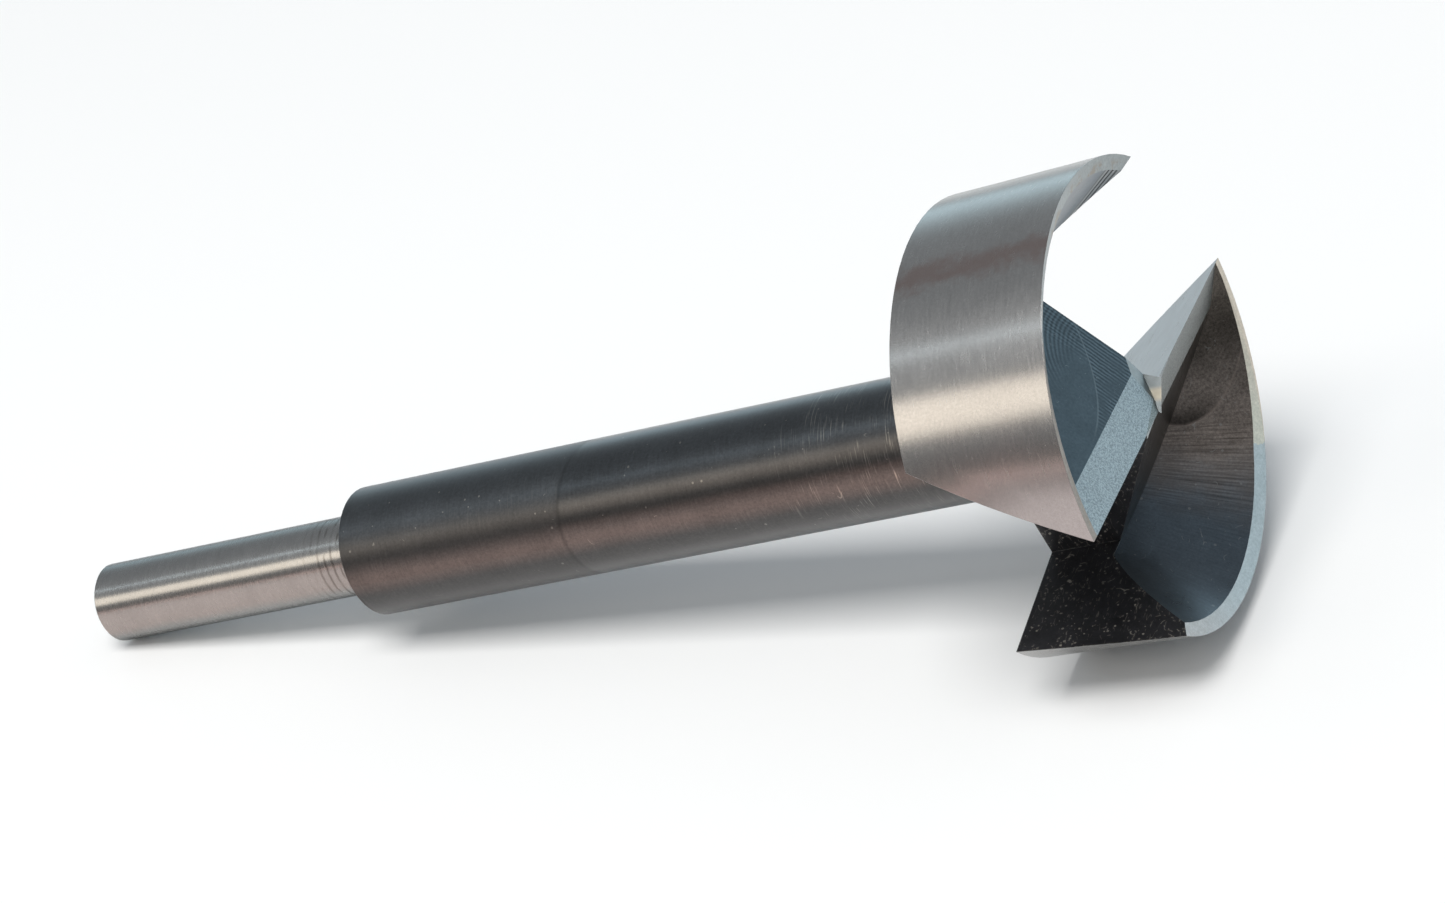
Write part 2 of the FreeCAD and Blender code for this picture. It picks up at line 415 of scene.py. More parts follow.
def edgeWear(tree, at):
    # 1 on an edge that is worn and has a painted glint, broken up by noise
    rounded = addNode(tree, "ShaderNodeBevel", samples=edgeSet["samples"])
    rounded.inputs["Radius"].default_value = edgeSet["wearAndGlint"]
    flat = addNode(tree, "ShaderNodeNewGeometry")
    alike = dotWith(tree, rounded.outputs["Normal"], flat.outputs["Normal"])
    broken = rampUp(tree, noise(tree, at["place"], **edgeSet["cloud"]), *edgeSet["broken"])
    return product(tree, rampUp(tree, alike, *edgeSet["bend"]), broken)


def bumpFrom(tree, height, strength, normal):
    node = addNode(tree, "ShaderNodeBump")
    node.inputs["Strength"].default_value = strength
    node.inputs["Distance"].default_value = edgeSet["reliefHeight"]
    feed(tree, node.inputs["Height"], height)
    if normal:
        tree.links.new(normal, node.inputs["Normal"])
    return node.outputs["Normal"]


def finishSteel(tree, shader, at, colour, roughness, relief, depth,
                satin=0.0, edge=None, metal=1.0, soft=True):
    # edges lighter: partly wear, partly a painted glint
    if edge:
        colour = mixColour(tree, edgeWear(tree, at), colour, edge)
    feed(tree, shader.inputs["Base Color"], colour)
    feed(tree, shader.inputs["Roughness"], roughness)
    shader.inputs["Metallic"].default_value = metal
    normal = softEdges(tree) if soft else None
    tree.links.new(bumpFrom(tree, relief, depth, normal), shader.inputs["Normal"])
    if satin:
        shader.inputs["Anisotropic"].default_value = satin
        feed(tree, shader.inputs["Tangent"], combine(tree, *bitAxis))


# shank: bright ground steel, with turned rings and dark spots beside the step
shankSet = {
    "colour": (0.345, 0.34, 0.332),
    "grazing": (0.55, 0.56, 0.57),      # how bright it is seen along its surface
    # painted highlight: a faint rose band along one side of the shank
    "highlightTint": (1.12, 0.97, 0.93),
    "roughness": (0.24, 0.30),
    "lines": {"fine": 2.4, "coarse": 0.5},
    "grain": {"scale": 3.0, "roughness": 0.7},
    "cloud": {"scale": 0.3, "detail": 3.0},
    "depths": (0.12, 0.12, 0.10),       # of the lines, the grain and the cloud
    "ringHeights": (31.5, 37.5),        # mm where the rings begin and where they are full
    "ringPitch": 1.05,
    "ringWobble": 4.0,
    "ringSharp": 4.0,
    "ringCloud": {"scale": 0.5},
    "ringBroken": (0.3, 0.6),
    "ringAmount": 0.8,
    "ringColour": (0.13, 0.12, 0.11),
    "spots": {"perMillimetre": 0.8, "size": 0.42, "share": 0.55},
    "spotHeights": (38.2, 39.2),
    "spotAmount": 0.75,
    "spotColour": (0.09, 0.075, 0.06),
    "relief": 0.25,
    "satin": 0.6,
}


def shankFinish(tree, shader, at):
    fine = brushed(tree, at, **shankSet["lines"])
    grain = noise(tree, at["place"], **shankSet["grain"])
    cloud = noise(tree, at["place"], **shankSet["cloud"])
    colour = shadedBy(tree, shankSet["colour"], (fine, grain, cloud), shankSet["depths"])
    ring = lines(tree, at["height"], shankSet["ringPitch"], cloud, shankSet["ringWobble"])
    ring = calc(tree, "POWER", ring, shankSet["ringSharp"])
    broken = rampUp(tree, noise(tree, at["place"], **shankSet["ringCloud"]), *shankSet["ringBroken"])
    ring = product(tree, ring, rampUp(tree, at["height"], *shankSet["ringHeights"]), broken)
    colour = painted(tree, colour, ring, shankSet["ringAmount"], shankSet["ringColour"])
    spot = product(tree, specks(tree, at, **shankSet["spots"]),
                   rampUp(tree, at["height"], *shankSet["spotHeights"]))
    colour = painted(tree, colour, spot, shankSet["spotAmount"], shankSet["spotColour"])
    # painted rose highlight along one side
    colour = paintedRoseHighlight(tree, at, colour, shankSet["highlightTint"])
    feed(tree, shader.inputs["Specular Tint"], shankSet["grazing"])
    finishSteel(tree, shader, at, colour, spread(tree, fine, *shankSet["roughness"]), ring,
                shankSet["relief"], shankSet["satin"])


# neck: dark satin with a fine grain, smoother towards the head, and scratched round beside it
neckSet = {
    "colour": (0.062, 0.058, 0.057),
    # painted reflection: a bluer colour on the neck's upper side
    "bluishReflection": (0.054, 0.060, 0.066),       # of its upper side
    "bluishReflectionSide": (0.087, -0.996, 0.0),
    "bluishReflectionReach": (4.2, 6.8),             # mm towards that side
    # painted highlight: a strong, narrow rose band along one side of the neck
    "highlightTint": (2.35, 1.78, 1.60),
    "highlightBand": {"turn": -4.0, "half": 9.5, "fade": 9.5, "wobble": 4.0},
    "roughness": (0.38, 0.50),
    "coat": 0.5,
    "coatRoughness": 0.33,
    "lines": {"fine": 3.0, "coarse": 0.4},
    "grain": {"scale": 3.2, "roughness": 0.75},
    "cloud": {"scale": 0.22, "detail": 4.0, "roughness": 0.6},
    "depths": (0.22, 0.45, 0.25),        # of the lines, the grain and the cloud
    "smoothFrom": 75.0,                  # mm up the axis
    "smoothSlant": 0.25,
    "smoothFade": 0.4,
    "smoothBy": -0.12,                   # of roughness
    "ringHalf": 0.5,                     # mm, of the dark ring where it turns smooth
    "ringDepth": 0.3,
    "hoops": {"scale": 1.0, "detail": 1.0, "stretch": (0.30, 0.30, 6.5)},
    "hoopEdge": (0.54, 0.76),
    "hoopCloud": {"scale": 0.4},
    "hoopBroken": (0.38, 0.68),
    "hoopsRise": (101.0, 110.0),         # mm up the axis
    "hoopsFall": (128.0, 124.0),
    "hoopAmounts": (0.34, 0.04),         # there, and all along
    "dust": {"perMillimetre": 1.2, "size": 0.20, "share": 0.14},
    "dustAmount": 0.3,
    "threads": {"scale": 0.35, "width": 0.008, "share": 0.30},
    "threadAmount": 0.35,
    "markColour": (0.42, 0.40, 0.36),
    "relief": 0.10,
    "satin": 0.5,
}


def neckFinish(tree, shader, at):
    fine = brushed(tree, at, **neckSet["lines"])
    grain = noise(tree, at["place"], **neckSet["grain"])
    cloud = noise(tree, at["place"], **neckSet["cloud"])
    # painted bluish reflection on the upper side
    bluishReflection = rampUp(tree, dotWith(tree, at["place"], neckSet["bluishReflectionSide"]), *neckSet["bluishReflectionReach"])
    colour = mixColour(tree, bluishReflection, neckSet["colour"], neckSet["bluishReflection"])
    colour = shadedBy(tree, colour, (fine, grain, cloud), neckSet["depths"])
    edgeAt = calc(tree, "MULTIPLY_ADD", at["x"], neckSet["smoothSlant"], at["height"])
    smooth = rampUp(tree, edgeAt, neckSet["smoothFrom"] - neckSet["smoothFade"],
                    neckSet["smoothFrom"] + neckSet["smoothFade"])
    ring = rampUp(tree, offFrom(tree, edgeAt, neckSet["smoothFrom"]), neckSet["ringHalf"], 0.0)
    colour = darkened(tree, colour, ring, neckSet["ringDepth"])
    zone = product(tree, rampUp(tree, at["height"], *neckSet["hoopsRise"]),
                   rampUp(tree, at["height"], *neckSet["hoopsFall"]))
    hoops = rampUp(tree, noise(tree, at["place"], **neckSet["hoops"]), *neckSet["hoopEdge"])
    broken = rampUp(tree, noise(tree, at["place"], **neckSet["hoopCloud"]), *neckSet["hoopBroken"])
    hoops = product(tree, hoops, broken, calc(tree, "MULTIPLY_ADD", zone, *neckSet["hoopAmounts"]))
    colour = mixColour(tree, hoops, colour, neckSet["markColour"])
    dust = specks(tree, at, **neckSet["dust"])
    colour = painted(tree, colour, dust, neckSet["dustAmount"], neckSet["markColour"])
    thread = scratches(tree, at, **neckSet["threads"])
    colour = painted(tree, colour, thread, neckSet["threadAmount"], neckSet["markColour"])
    # painted rose highlight along one side
    colour = paintedRoseHighlight(tree, at, colour, neckSet["highlightTint"], neckSet["highlightBand"])
    rough = spread(tree, grain, *neckSet["roughness"])
    rough = calc(tree, "MULTIPLY_ADD", smooth, neckSet["smoothBy"], rough)
    shader.inputs["Coat Weight"].default_value = neckSet["coat"]
    shader.inputs["Coat Roughness"].default_value = neckSet["coatRoughness"]
    finishSteel(tree, shader, at, colour, rough, grain, neckSet["relief"], neckSet["satin"])


# rims: bright ground steel with fine lines round them and a faint reddish band, a painted reflection
rimSet = {
    "colour": (0.375, 0.367, 0.358),
    # painted highlight: a faint rose band along one side of the rims
    "highlightTint": (1.14, 1.01, 1.0),
    "roughness": (0.22, 0.30),
    "lines": {"fine": 3.0, "coarse": 0.45},
    "grain": {"scale": 3.4, "roughness": 0.7},
    "cloud": {"scale": 0.15, "detail": 3.0},
    "depths": (0.13, 0.16, 0.08),        # of the lines, the grain and the cloud
    # painted reflection: a faint reddish band along the rims
    "reddishReflectionTurn": 110.0,                   # degrees
    "reddishReflectionWidth": 6.0,
    "reddishReflectionWobble": 12.0,
    "reddishReflectionCloud": {"scale": 0.3, "detail": 4.0, "roughness": 0.7},
    "reddishReflectionAmount": 0.75,
    "reddishReflectionColour": (0.30, 0.225, 0.205),
    "cuts": {"scale": 0.35, "width": 0.006, "share": 0.28, "stretch": (0.8, 0.8, 1.6)},
    "cutAmount": 0.16,
    "cutColour": (0.62, 0.61, 0.60),
    "relief": 0.08,
    "satin": 0.6,
}


def rimFinish(tree, shader, at):
    fine = brushed(tree, at, **rimSet["lines"])
    grain = noise(tree, at["place"], **rimSet["grain"])
    cloud = noise(tree, at["place"], **rimSet["cloud"])
    colour = shadedBy(tree, rimSet["colour"], (fine, grain, cloud), rimSet["depths"])
    # painted reddish reflection, as a band at a fixed turn
    turn = calc(tree, "FLOORED_MODULO", at["turn"], wingSet["apart"])
    wobble = calc(tree, "MULTIPLY_ADD", noise(tree, at["place"], **rimSet["reddishReflectionCloud"]),
                  rimSet["reddishReflectionWobble"], -rimSet["reddishReflectionWobble"] / 2)
    off = calc(tree, "ADD", calc(tree, "SUBTRACT", turn, rimSet["reddishReflectionTurn"]), wobble)
    band = rampUp(tree, calc(tree, "ABSOLUTE", off), rimSet["reddishReflectionWidth"], 0.0)
    colour = painted(tree, colour, band, rimSet["reddishReflectionAmount"], rimSet["reddishReflectionColour"])
    # painted rose highlight along one side
    colour = paintedRoseHighlight(tree, at, colour, rimSet["highlightTint"])
    cut = scratches(tree, at, **rimSet["cuts"])
    colour = painted(tree, colour, cut, rimSet["cutAmount"], rimSet["cutColour"])
    finishSteel(tree, shader, at, colour, spread(tree, fine, *rimSet["roughness"]), fine,
                rimSet["relief"], rimSet["satin"])


# back of the head: turned in rings
backSet = {
    "colour": (0.26, 0.258, 0.255),
    "roughness": (0.26, 0.38),
    "cloud": {"scale": 0.3, "detail": 3.0},
    "ringPitch": 0.55,
    "ringWobble": 3.0,
    "depths": (0.16, 0.2),       # of the rings and the cloud
    "relief": 0.3,
}


def backFinish(tree, shader, at):
    cloud = noise(tree, at["place"], **backSet["cloud"])
    ring = lines(tree, at["radius"], backSet["ringPitch"], cloud, backSet["ringWobble"])
    colour = shadedBy(tree, backSet["colour"], (ring, cloud), backSet["depths"])
    finishSteel(tree, shader, at, colour, spread(tree, cloud, *backSet["roughness"]), ring,
                backSet["relief"])


# lands: fine grain, bluish grey, and a darker grey on the far wing, a painted shade
landSet = {
    "colour": (0.328, 0.365, 0.383),
    # painted shade: the far wing's copy of the same steel is darker, here and below
    "other": (0.24, 0.255, 0.25),        # of the far wing, here and below
    "roughness": (0.34, 0.46),
    "grain": {"scale": 4.6, "roughness": 0.75},
    "grainEdge": (0.3, 0.7),
    "cloud": {"scale": 0.3},
    "depths": (0.34, 0.08),              # of the grain and the cloud
    "relief": 0.30,
}


def landFinish(tree, shader, at):
    grain = noise(tree, at["place"], **landSet["grain"])
    cloud = noise(tree, at["place"], **landSet["cloud"])
    # painted shade: the darker copy on the far wing
    colour = mixColour(tree, farWing(tree, at), landSet["colour"], landSet["other"])
    crisp = rampUp(tree, grain, *landSet["grainEdge"])
    colour = shadedBy(tree, colour, (crisp, cloud), landSet["depths"])
    finishSteel(tree, shader, at, colour, spread(tree, grain, *landSet["roughness"]), grain,
                landSet["relief"], soft=False)


# rake faces: smooth and pale, with faint streaks along the lip
rakeSet = {
    "colour": (0.53, 0.575, 0.60),
    "grazing": (0.6, 0.62, 0.63),
    "roughness": (0.24, 0.34),
    "streaks": {"scale": 0.5, "detail": 3.0, "stretch": (0.35, 2.2, 2.2)},
    "cloud": {"scale": 0.35, "detail": 3.0},
    "depths": (0.14, 0.12),              # of the streaks and the cloud
    "pits": {"perMillimetre": 0.35, "size": 0.10, "share": 0.4},
    "pitAmount": 0.7,
    "pitColour": (0.10, 0.10, 0.11),
    "relief": 0.15,
}


def rakeFinish(tree, shader, at):
    streak = noise(tree, at["place"], **rakeSet["streaks"])
    cloud = noise(tree, at["place"], **rakeSet["cloud"])
    colour = shadedBy(tree, rakeSet["colour"], (streak, cloud), rakeSet["depths"])
    pits = specks(tree, at, **rakeSet["pits"])
    colour = painted(tree, colour, pits, rakeSet["pitAmount"], rakeSet["pitColour"])
    feed(tree, shader.inputs["Specular Tint"], rakeSet["grazing"])
    finishSteel(tree, shader, at, colour, spread(tree, streak, *rakeSet["roughness"]), streak,
                rakeSet["relief"])


# bowls' flat sides: dark blue, a painted reflection, with rows left by the cutter, and black brown on
# the far wing, a painted shade
slopeSet = {
    # painted reflection: the dark blue; painted shade: the far wing's darker black brown copy
    "colour": (0.094, 0.125, 0.147),
    "other": (0.052, 0.047, 0.044),
    "roughness": (0.24, 0.36),
    "cloud": {"scale": 0.4},
    "grain": {"scale": 3.0, "roughness": 0.7},
    "depths": (0.45, 0.34, 0.18),        # of the rows and arcs, the grain and the cloud
    "rowPitch": 0.54,
    "rowCloud": {"scale": 0.9, "detail": 3.0},
    "rowWobble": 4.0,
    "panelEdge": (-0.0233, 0.709, -9.016),   # y of the rows' curved edge, as x squared, x and 1 go
    "panelFade": 0.15,
    "panelEnds": (16.0, 9.0),
    "topEnds": (4.2, 0.8),
    "topAmount": 0.9,
    "rowBroken": (0.25, 0.6),
    "arcPitch": 0.47,
    "arcWobble": 3.0,
    "arcSides": (-8.0, -11.0),
    "arcEnds": (13.0, 7.0),
    "arcAmount": 0.6,
    "curveHalf": 0.16,
    "curveEnds": (15.0, 10.0),
    "curveAmount": 0.28,
    "cuts": {"scale": 0.6, "width": 0.012, "share": 0.36},
    "cutAmount": 0.5,
    "cutColour": (0.34, 0.40, 0.43),
    "relief": 0.4,
}


def slopeFinish(tree, shader, at):
    x, y = wingPlace(tree, at)
    cloud = noise(tree, at["place"], **slopeSet["cloud"])
    grain = noise(tree, at["place"], **slopeSet["grain"])
    # straight rows inside a curved edge and beside the top
    row = lines(tree, x, slopeSet["rowPitch"], noise(tree, at["place"], **slopeSet["rowCloud"]),
                slopeSet["rowWobble"])
    squared, single, plain = slopeSet["panelEdge"]
    panelEdge = calc(tree, "MULTIPLY_ADD", calc(tree, "MULTIPLY_ADD", x, squared, single), x, plain)
    inside = calc(tree, "SUBTRACT", y, panelEdge)
    panel = product(tree, rampUp(tree, inside, -slopeSet["panelFade"], slopeSet["panelFade"]),
                    rampUp(tree, x, *slopeSet["panelEnds"]))
    top = product(tree, rampUp(tree, x, *slopeSet["topEnds"]), slopeSet["topAmount"])
    rowZone = product(tree, calc(tree, "MAXIMUM", panel, top),
                      rampUp(tree, cloud, *slopeSet["rowBroken"]))
    marks = aboutHalf(tree, row, rowZone)
    # arcs round the axis near the rim
    arc = lines(tree, at["radius"], slopeSet["arcPitch"], cloud, slopeSet["arcWobble"])
    arcZone = product(tree, rampUp(tree, y, *slopeSet["arcSides"]),
                      rampUp(tree, x, *slopeSet["arcEnds"]), slopeSet["arcAmount"])
    marks = aboutHalf(tree, arc, arcZone, marks)
    # painted shade: the darker black brown copy on the far wing
    colour = mixColour(tree, farWing(tree, at), slopeSet["colour"], slopeSet["other"])
    colour = shadedBy(tree, colour, (marks, grain, cloud), slopeSet["depths"])
    curve = product(tree, rampUp(tree, calc(tree, "ABSOLUTE", inside), slopeSet["curveHalf"], 0.0),
                    rampUp(tree, x, *slopeSet["curveEnds"]))
    colour = painted(tree, colour, curve, slopeSet["curveAmount"], slopeSet["cutColour"])
    cut = scratches(tree, at, **slopeSet["cuts"])
    colour = painted(tree, colour, cut, slopeSet["cutAmount"], slopeSet["cutColour"])
    finishSteel(tree, shader, at, colour, spread(tree, cloud, *slopeSet["roughness"]), marks,
                slopeSet["relief"])


# bowls' round walls: brown near the leading tip, blue behind, with the cutter's lines across
# all zones are in degrees back from the lip
bowlSet = {
    "brown": (0.195, 0.165, 0.145),
    "blue": (0.10, 0.125, 0.148),
    "dark": (0.060, 0.055, 0.048),
    "roughness": (0.24, 0.34),
    "cloud": {"scale": 0.35, "detail": 4.0, "roughness": 0.6},
    "cloudDepth": 0.25,
    "blueZone": (50.0, 84.0),
    "blueWobble": 16.0,
    "tipZone": (40.0, 14.0),
    "tipWobble": 8.0,
    "tipAmount": 0.85,
    "linePitch": (1.3, 0.16),            # of noise to a degree and to a mm outwards
    "lines": {"scale": 1.0, "detail": 3.0, "roughness": 0.7},
    "lineRise": (36.0, 42.0),
    "lineFall": (80.0, 52.0),
    "lineSwing": (1.6, 0.35),            # in the lines' zone, and all round
    "lineDepth": 0.62,
    "grain": {"scale": 3.2, "detail": 3.0, "roughness": 0.8},
    "grainZone": (60.0, 30.0),
    "grainSwing": (0.8, 0.3),
    "grainDepth": 1.1,
    "relief": 0.08,
}
# the arc where the cutter came out, dark before it and pale on it
runOutSet = {
    "turn": 39.0,                # degrees back, at the radius below
    "radius": 22.0,              # mm
    "slant": -1.3,               # degrees to a mm outwards
    "bowMiddle": 21.6,           # mm
    "bow": -0.7,                 # degrees to a square mm
    "shadow": (-9.0, 0.0),       # degrees before the arc
    "shadowRadii": (24.2, 21.4),
    "shadowDepth": 0.75,
    "half": 0.9,
    "broken": (0.25, 0.5),
    "amount": 0.5,
    "colour": (0.27, 0.22, 0.19),
}
# deep grooves at the near wing's trailing end, painted dark as shade in them, with a painted highlight
# on the ridges between
grooveSet = {
    "zone": (115.5, 119.0),
    "pitch": 2.25,               # degrees
    "wobble": 1.0,
    "sharp": 2.4,
    "amount": 0.85,
    # painted shade in the grooves, and a painted highlight on the ridges between
    "colour": (0.05, 0.05, 0.052),
    "ridgeHighlight": (0.42, 0.42, 0.41),
    "ridgeHighlightAmount": 0.6,
}
bowlDirt = {
    "cuts": {"scale": 0.45, "width": 0.012, "share": 0.40},
    "cutAmount": 0.5,
    "specks": {"perMillimetre": 0.9, "size": 0.20, "share": 0.20},
    "speckAmount": 0.35,
    "colour": (0.33, 0.335, 0.33),
}


def runOutMark(tree, at, colour, back, cloud):
    markAt = calc(tree, "SUBTRACT", at["radius"], runOutSet["radius"])
    markAt = calc(tree, "MULTIPLY_ADD", markAt, runOutSet["slant"], runOutSet["turn"])
    bowed = calc(tree, "POWER", calc(tree, "SUBTRACT", at["radius"], runOutSet["bowMiddle"]), 2.0)
    markAt = calc(tree, "MULTIPLY_ADD", bowed, runOutSet["bow"], markAt)
    past = calc(tree, "SUBTRACT", back, markAt)
    shadow = product(tree, rampUp(tree, past, *runOutSet["shadow"]), calc(tree, "LESS_THAN", past, 0.0),
                     rampUp(tree, at["radius"], *runOutSet["shadowRadii"]))
    colour = darkened(tree, colour, shadow, runOutSet["shadowDepth"])
    rib = product(tree, rampUp(tree, calc(tree, "ABSOLUTE", past), runOutSet["half"], 0.0),
                  rampUp(tree, cloud, *runOutSet["broken"]))
    return painted(tree, colour, rib, runOutSet["amount"], runOutSet["colour"])


def bowlFinish(tree, shader, at):
    back = wingTurn(tree, at)
    cloud = noise(tree, at["place"], **bowlSet["cloud"])
    grain = noise(tree, at["place"], **bowlSet["grain"])
    blueAt = calc(tree, "MULTIPLY_ADD", cloud, bowlSet["blueWobble"], back)
    bluing = rampUp(tree, blueAt, *bowlSet["blueZone"])
    colour = mixColour(tree, bluing, bowlSet["brown"], bowlSet["blue"])
    tipAt = calc(tree, "MULTIPLY_ADD", cloud, bowlSet["tipWobble"], back)
    tip = rampUp(tree, tipAt, *bowlSet["tipZone"])
    colour = painted(tree, colour, tip, bowlSet["tipAmount"], bowlSet["dark"])
    # irregular fine lines across the wall
    perDegree, perMillimetre = bowlSet["linePitch"]
    across = combine(tree, product(tree, back, perDegree),
                     product(tree, at["radius"], perMillimetre), 0.0)
    lineZone = product(tree, rampUp(tree, back, *bowlSet["lineRise"]),
                       rampUp(tree, back, *bowlSet["lineFall"]))
    line = aboutHalf(tree, noise(tree, across, **bowlSet["lines"]),
                     calc(tree, "MULTIPLY_ADD", lineZone, *bowlSet["lineSwing"]))
    grainZone = rampUp(tree, back, *bowlSet["grainZone"])
    grain = aboutHalf(tree, grain, calc(tree, "MULTIPLY_ADD", grainZone, *bowlSet["grainSwing"]))
    colour = shadedBy(tree, colour, (line, grain, cloud),
                      (bowlSet["lineDepth"], bowlSet["grainDepth"], bowlSet["cloudDepth"]))
    colour = runOutMark(tree, at, colour, back, cloud)
    grooveZone = product(tree, rampUp(tree, back, *grooveSet["zone"]), flip(tree, farWing(tree, at)))
    # painted highlight on the ridges between the grooves
    colour = painted(tree, colour, grooveZone, grooveSet["ridgeHighlightAmount"], grooveSet["ridgeHighlight"])
    groove = lines(tree, back, grooveSet["pitch"], cloud, grooveSet["wobble"])
    groove = calc(tree, "POWER", groove, grooveSet["sharp"])
    groove = product(tree, groove, grooveZone, grooveSet["amount"])
    # painted shade in the grooves, in their colour and in what they reflect
    colour = mixColour(tree, groove, colour, grooveSet["colour"])
    feed(tree, shader.inputs["Specular Tint"], mixColour(tree, groove, white, grooveSet["colour"]))
    cut = product(tree, scratches(tree, at, **bowlDirt["cuts"]), bowlDirt["cutAmount"])
    speck = product(tree, specks(tree, at, **bowlDirt["specks"]), bowlDirt["speckAmount"])
    colour = mixColour(tree, calc(tree, "MAXIMUM", cut, speck), colour, bowlDirt["colour"])
    finishSteel(tree, shader, at, colour, spread(tree, cloud, *bowlSet["roughness"]), line,
                bowlSet["relief"], soft=False)


# bevels: two passes of the wheel, cream and mottled first, then blue grey, each painted darker on the
# near wing as shade
bevelSet = {
    # painted shade: the near wing's copies of both passes are darker
    "first": (0.55, 0.497, 0.42),        # of the far wing, and the next of the near one
    "firstShadedNear": (0.27, 0.255, 0.235),
    "second": (0.41, 0.43, 0.437),
    "secondShadedNear": (0.30, 0.33, 0.335),
    "roughness": (0.30, 0.42),
    "joint": 46.0,                       # degrees back from the lip
    "jointFade": 0.3,
    "jointWobble": 6.0,
    "cloud": {"scale": 0.9, "detail": 3.0, "roughness": 0.6},
    "grain": {"scale": 3.2, "detail": 3.0, "roughness": 0.8},
    "depths": (0.22, 0.40),              # of the cloud and the grain
    "stainCloud": {"scale": 0.5, "detail": 4.0, "roughness": 0.6},
    "stainEdge": (0.48, 0.58),
    "stainRadii": (26.9, 26.0),
    "stainAmount": 0.6,
    "stain": (0.26, 0.21, 0.15),
    "relief": 0.15,
}


def bevelFinish(tree, shader, at):
    back = wingTurn(tree, at)
    cloud = noise(tree, at["place"], **bevelSet["cloud"])
    grain = noise(tree, at["place"], **bevelSet["grain"])
    joint = calc(tree, "MULTIPLY_ADD", cloud, bevelSet["jointWobble"],
                 calc(tree, "SUBTRACT", back, bevelSet["jointWobble"] / 2))
    second = rampUp(tree, joint, bevelSet["joint"] - bevelSet["jointFade"],
                    bevelSet["joint"] + bevelSet["jointFade"])
    far = farWing(tree, at)
    # painted shade: the darker copies on the near wing
    colour = mixColour(tree, second, mixColour(tree, far, bevelSet["firstShadedNear"], bevelSet["first"]),
                       mixColour(tree, far, bevelSet["secondShadedNear"], bevelSet["second"]))
    colour = shadedBy(tree, colour, (cloud, grain), bevelSet["depths"])
    # brown stains along the near wing's inner edge
    stain = rampUp(tree, noise(tree, at["place"], **bevelSet["stainCloud"]), *bevelSet["stainEdge"])
    stain = product(tree, stain, rampUp(tree, at["radius"], *bevelSet["stainRadii"]), flip(tree, far))
    colour = painted(tree, colour, stain, bevelSet["stainAmount"], bevelSet["stain"])
    finishSteel(tree, shader, at, colour, spread(tree, cloud, *bevelSet["roughness"]), cloud,
                bevelSet["relief"])


# throats: near black, a painted dark reflection, with dust and fine scratches, and lighter along the
# edges, partly wear and partly a painted glint
throatSet = {
    # painted dark reflection: near black and not metal
    "colour": (0.0125, 0.0122, 0.0140),
    # the lighter edge colour: partly wear, partly a painted glint
    "edge": (0.20, 0.19, 0.175),
    "metal": 0.0,
    "roughness": (0.28, 0.45),
    "cloud": {"scale": 0.4, "detail": 4.0, "roughness": 0.65},
    "grain": {"scale": 3.0, "roughness": 0.75},
    "depths": (0.7, 0.9),                # of the cloud and the grain
    "dust": {"perMillimetre": 0.9, "size": 0.26, "share": 0.18},
    "dustAmount": 0.7,
    "fineDust": {"perMillimetre": 2.4, "size": 0.42, "share": 0.20},
    "fineAmount": 0.5,
    "thickCloud": {"scale": 0.16},
    "thickEdge": (0.3, 0.65),
    "thickAmounts": (0.75, 0.25),        # more dust where it lies thick, and all over
    "cuts": {"scale": 0.7, "width": 0.026, "share": 0.48, "stretch": (0.5, 1.0, 2.4)},
    "cutAmount": 0.28,
    "threads": {"scale": 0.6, "width": 0.022, "share": 0.40},
    "threadAmount": 0.45,
    "markColour": (0.40, 0.37, 0.32),
    "relief": 0.15,
}


def throatFinish(tree, shader, at):
    cloud = noise(tree, at["place"], **throatSet["cloud"])
    grain = noise(tree, at["place"], **throatSet["grain"])
    # painted dark reflection, varied by cloud and grain
    colour = shadedBy(tree, throatSet["colour"], (cloud, grain), throatSet["depths"])
    dust = product(tree, specks(tree, at, **throatSet["dust"]), throatSet["dustAmount"])
    fineDust = product(tree, specks(tree, at, **throatSet["fineDust"]), throatSet["fineAmount"])
    thick = rampUp(tree, noise(tree, at["place"], **throatSet["thickCloud"]), *throatSet["thickEdge"])
    marks = product(tree, calc(tree, "MAXIMUM", dust, fineDust),
                    calc(tree, "MULTIPLY_ADD", thick, *throatSet["thickAmounts"]))
    cut = product(tree, scratches(tree, at, **throatSet["cuts"]), throatSet["cutAmount"])
    thread = product(tree, scratches(tree, at, **throatSet["threads"]), throatSet["threadAmount"])
    marks = calc(tree, "MAXIMUM", calc(tree, "MAXIMUM", marks, cut), thread)
    colour = mixColour(tree, marks, colour, throatSet["markColour"])
    finishSteel(tree, shader, at, colour, spread(tree, cloud, *throatSet["roughness"]), cloud,
                throatSet["relief"], edge=throatSet["edge"], metal=throatSet["metal"])


# gashes beside the chisel edge: freshly ground, the floor pale, and a warm painted glint on the side
# beside the edge
gashSet = {
    "floor": (0.34, 0.375, 0.385),
    "side": (0.20, 0.22, 0.225),
    # painted glint: the warm colour on the side near the axis
    "paintedGlint": (0.50, 0.42, 0.30),
    "paintedGlintRadii": (1.1, 0.4),             # mm
    "paintedGlintAmount": 0.5,
    "roughness": (0.28, 0.38),
    "cloud": {"scale": 1.2, "detail": 3.0},
    "grain": {"scale": 4.0},
    "floorDepths": (0.2, 0.2),           # of the cloud and the grain
    "sideDepth": 0.25,
    "relief": 0.15,
}


def gashFinish(tree, shader, at):
    cloud = noise(tree, at["place"], **gashSet["cloud"])
    grain = noise(tree, at["place"], **gashSet["grain"])
    colour = shadedBy(tree, gashSet["floor"], (cloud, grain), gashSet["floorDepths"])
    finishSteel(tree, shader, at, colour, spread(tree, cloud, *gashSet["roughness"]), cloud,
                gashSet["relief"], soft=False)


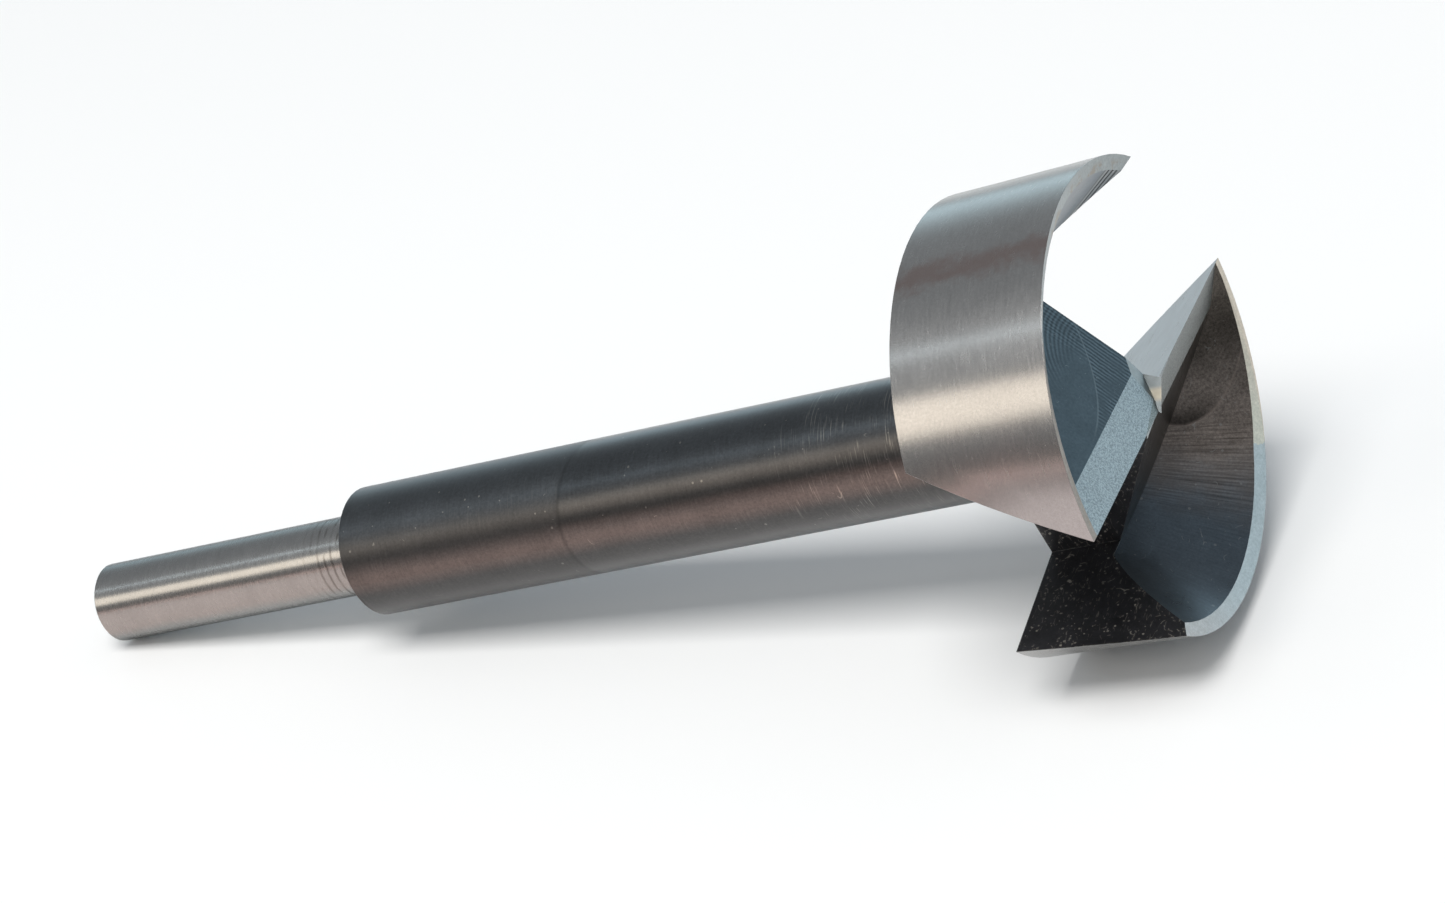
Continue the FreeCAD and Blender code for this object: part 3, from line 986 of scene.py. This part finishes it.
def chiselFinish(tree, shader, at):
    cloud = noise(tree, at["place"], **gashSet["cloud"])
    # painted glint, warm, near the axis
    paintedGlint = rampUp(tree, at["radius"], *gashSet["paintedGlintRadii"])
    colour = painted(tree, gashSet["side"], paintedGlint, gashSet["paintedGlintAmount"], gashSet["paintedGlint"])
    colour = shaded(tree, colour, cloud, gashSet["sideDepth"])
    finishSteel(tree, shader, at, colour, spread(tree, cloud, *gashSet["roughness"]), cloud,
                gashSet["relief"], soft=False)


finishes = {
    "shankSteel": shankFinish,
    "neckSteel": neckFinish,
    "rimSteel": rimFinish,
    "backSteel": backFinish,
    "landSteel": landFinish,
    "rakeSteel": rakeFinish,
    "slopeSteel": slopeFinish,
    "bowlSteel": bowlFinish,
    "bevelSteel": bevelFinish,
    "throatSteel": throatFinish,
    "gashSteel": gashFinish,
    "chiselSteel": chiselFinish,
}

# the flat ground faces of one wing, by their outward normals in the bit's frame
flatFaces = (
    ("rakeSteel", (0.0, 0.859, -0.512)),
    ("landSteel", (0.0, -0.400, 0.916)),
    ("slopeSteel", (0.0, -0.572, 0.820)),
    ("throatSteel", (-0.120, 0.974, 0.191)),   # its far wall
    ("throatSteel", (0.958, 0.174, 0.228)),    # its floor
    ("gashSteel", (-0.163, -0.376, 0.912)),
    ("chiselSteel", (0.588, -0.790, 0.174)),
)
faceSet = {
    "alike": 0.9993,       # least dot product of two normals of one face
    "landReach": 6.0,      # mm that a land's polygons lie from the lip's line
    "gashReach": 6.0,      # mm that a gash reaches from the axis
    "bowlTilt": 0.596,     # height part of a bowl wall's normal
    "bevelTilt": 0.917,
    "rimTilt": 0.2,
    "stepHeight": 41.0,    # mm up the axis
    "headHeight": 130.0,
    "slack": 0.01,
}


def finishOf(centre, normal):
    # which finish a polygon takes, from its place and outward normal in the bit's frame
    turned = Vector((-normal.x, -normal.y, normal.z))
    for name, faceNormal in flatFaces:
        fit = max(normal.dot(Vector(faceNormal)), turned.dot(Vector(faceNormal)))
        if fit < faceSet["alike"] or centre.z < faceSet["headHeight"]:
            continue
        if name == "landSteel" and abs(centre.y) > faceSet["landReach"]:
            continue
        away = math.hypot(centre.x, centre.y)
        if name in ("gashSteel", "chiselSteel") and away > faceSet["gashReach"]:
            continue
        return name
    radial = normal.x * centre.x + normal.y * centre.y
    if centre.z > faceSet["headHeight"] + faceSet["slack"]:
        if radial > 0 and abs(normal.z) < faceSet["rimTilt"]:
            return "rimSteel"
        middle = (faceSet["bowlTilt"] + faceSet["bevelTilt"]) / 2
        return "bevelSteel" if normal.z > middle else "bowlSteel"
    if centre.z > faceSet["headHeight"] - faceSet["slack"]:
        return "backSteel"
    if centre.z < faceSet["stepHeight"] - faceSet["slack"]:
        return "shankSteel"
    return "neckSteel"


def dressBit():
    mesh = bit.data
    slots = {}
    for at, (name, finish) in enumerate(finishes.items()):
        material, tree, shader = startMaterial(name)
        finish(tree, shader, bitPlace(tree))
        slots[name] = at
        if at == 0:
            bit.material_slots[0].material = material
        else:
            mesh.materials.append(material)
    inward = bitMatrix.inverted()
    turn = inward.to_3x3()
    counts = {}
    for polygon in mesh.polygons:
        centre = inward @ polygon.center / pose["perMillimetre"]
        name = finishOf(centre, turn @ polygon.normal)
        polygon.material_index = slots[name]
        counts[name] = counts.get(name, 0) + 1
    print("finishes", counts)


dressBit()
print("bit dressed")

# camera, fitted to the photo's outline
cameraSet = {
    "place": (0.241927, -0.394093, 0.288908),
    "lookAt": (0.015310, 0.001699, 0.023118),
    "roll": -18.460,
    "lens": 111.855,
    "sensorWidth": 36.0,
    "clipStart": 0.01,
}


def makeCamera():
    data = bpy.data.cameras.new("camera")
    data.lens = cameraSet["lens"]
    data.sensor_width = cameraSet["sensorWidth"]
    data.sensor_fit = "HORIZONTAL"
    data.clip_start = cameraSet["clipStart"]
    camera = bpy.data.objects.new("camera", data)
    place = Vector(cameraSet["place"])
    aim = (Vector(cameraSet["lookAt"]) - place).to_track_quat("-Z", "Y").to_matrix().to_4x4()
    roll = Matrix.Rotation(math.radians(cameraSet["roll"]), 4, "Z")
    camera.matrix_world = Matrix.Translation(place) @ aim @ roll
    scene.collection.objects.link(camera)
    scene.camera = camera


makeCamera()
scene.view_settings.view_transform = "Standard"
print("camera set")
